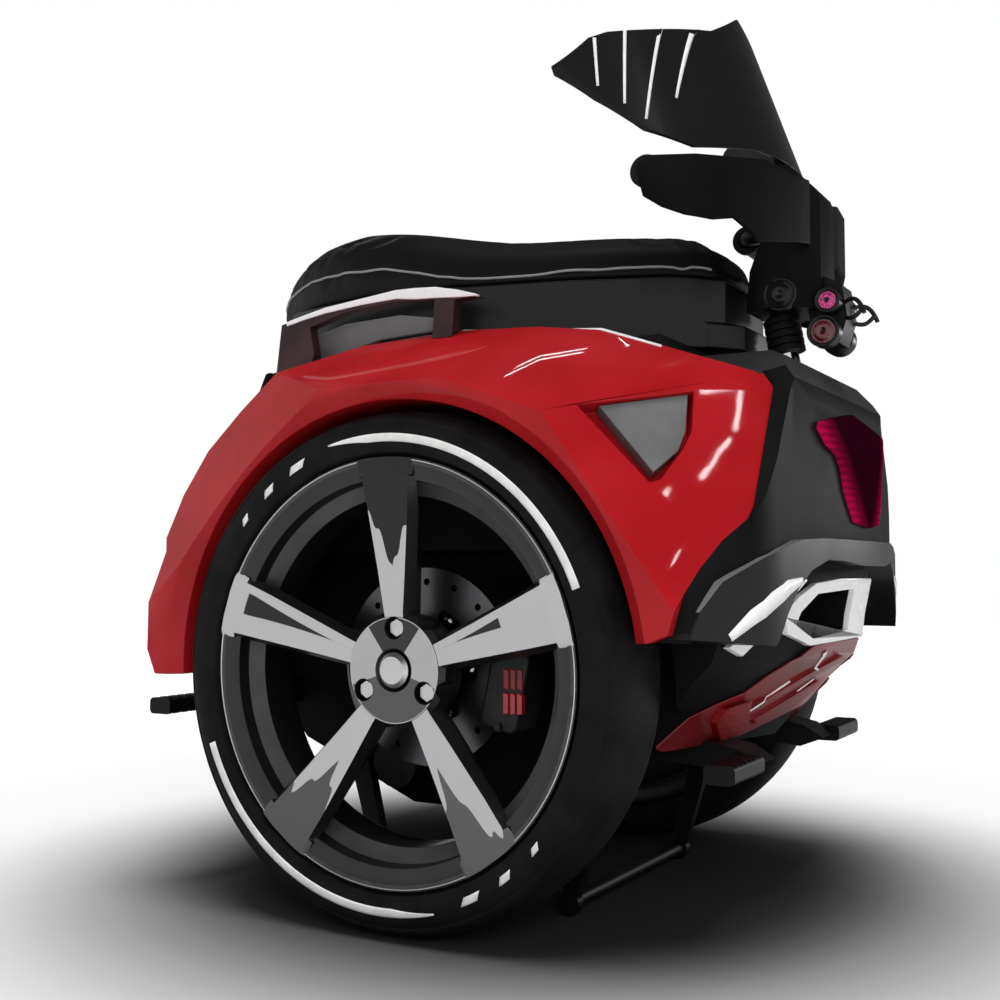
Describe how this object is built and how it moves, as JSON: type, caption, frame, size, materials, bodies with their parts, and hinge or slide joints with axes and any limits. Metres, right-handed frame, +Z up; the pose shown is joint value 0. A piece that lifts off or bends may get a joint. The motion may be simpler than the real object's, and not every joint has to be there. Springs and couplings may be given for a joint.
{
  "type": "seated self-balancing scooter",
  "caption": "Seated self-balancing scooter: big side-by-side alloy wheels under red fenders, a long seat, a steering tower with smoked screen and parking stands.",
  "frame": {"origin": "on the floor, midway between the two tyres, straight below the axle line's middle", "axes": "+Z up, -Y towards the front (windscreen), +X to the rider's left, along the axle"},
  "size_m": [0.7322, 0.872, 1.082],
  "materials": {
    "tyre_rubber": "matt tread rubber",
    "rim_alloy": "dark coated alloy",
    "spoke_alloy": "machined alloy with dark flanks",
    "hub_steel": "dark satin steel",
    "disc_steel": "ground steel",
    "caliper_paint": "satin dark grey",
    "drive_casting": "black coated casting",
    "body_plastic": "fine moulded black",
    "fender_paint": "glossy red",
    "lamp_lens": "lit magenta red lens",
    "band_paint": "satin black",
    "frame_silver": "bright silver",
    "insert_grey": "satin grey",
    "diffuser_paint": "dull red",
    "reflector_red": "ribbed red",
    "seat_leather": "fine black grain",
    "rail_paint": "satin silver over dark red",
    "peg_metal": "black coated",
    "stand_metal": "dark grey coated steel",
    "bar_metal": "black coated steel",
    "grip_rubber": "moulded rubber",
    "guard_plastic": "matt black",
    "screen_tint": "near-black smoked"
  },
  "bodies": {
    "chassis": {"brake_caliper_left": "caliper_paint", "brake_caliper_right": "caliper_paint", "drive_unit_left": "drive_casting", "drive_unit_right": "drive_casting", "chassis_tub": "body_plastic", "nose_cowl": "body_plastic", "tail_cowl": "body_plastic", "seat_base": "body_plastic", "fender_left": "fender_paint", "fender_right": "fender_paint", "front_lamp": "lamp_lens", "bumper_band": "band_paint", "aperture_frame": "frame_silver", "bumper_blade_left": "frame_silver", "bumper_blade_right": "frame_silver", "vent_insert_left": "insert_grey", "vent_insert_right": "insert_grey", "side_panel_left": "insert_grey", "side_panel_right": "insert_grey", "diffuser": "diffuser_paint", "front_reflectors": "reflector_red", "tail_lamp": "reflector_red", "seat_cushion": "seat_leather", "grab_rail_left": "rail_paint", "grab_rail_right": "rail_paint", "front_peg_left": "peg_metal", "front_peg_right": "peg_metal", "rear_peg_left": "peg_metal", "rear_peg_right": "peg_metal", "stand_pivots": "stand_metal"},
    "wheel_left": {"tyre_left": "tyre_rubber", "rim_left": "rim_alloy", "spokes_left": "spoke_alloy", "hub_left": "hub_steel", "brake_disc_left": "disc_steel"},
    "wheel_right": {"tyre_right": "tyre_rubber", "rim_right": "rim_alloy", "spokes_right": "spoke_alloy", "hub_right": "hub_steel", "brake_disc_right": "disc_steel"},
    "steering": {"steering_stem": "bar_metal", "bellows": "grip_rubber", "tower_cowl": "body_plastic", "handlebar": "bar_metal", "grip_left": "grip_rubber", "grip_right": "grip_rubber", "hand_guard_left": "guard_plastic", "hand_guard_right": "guard_plastic", "windscreen": "screen_tint", "screen_bracket": "body_plastic", "lamp_carrier": "body_plastic", "side_lamps": "lamp_lens"},
    "stand_front": {"stand_front": "stand_metal"},
    "stand_rear": {"stand_rear": "stand_metal"}
  },
  "joints": [
    {"name": "wheel_left_spin", "type": "hinge", "parent": "chassis", "child": "wheel_left", "pos_m": [0.303, 0, 0.286], "axis": [1, 0, 0], "continuous": true},
    {"name": "wheel_right_spin", "type": "hinge", "parent": "chassis", "child": "wheel_right", "pos_m": [-0.303, 0, 0.286], "axis": [1, 0, 0], "continuous": true},
    {"name": "steering_turn", "type": "hinge", "parent": "chassis", "child": "steering", "pos_m": [0, -0.348, 0.611], "axis": [0, 0.1736, 0.9848], "range_deg": [-15, 15]},
    {"name": "stand_front_fold", "type": "hinge", "parent": "chassis", "child": "stand_front", "pos_m": [0, -0.175, 0.185], "axis": [1, 0, 0], "range_deg": [-75, 0]},
    {"name": "stand_rear_fold", "type": "hinge", "parent": "chassis", "child": "stand_rear", "pos_m": [0, 0.175, 0.185], "axis": [1, 0, 0], "range_deg": [0, 90]}
  ]
}
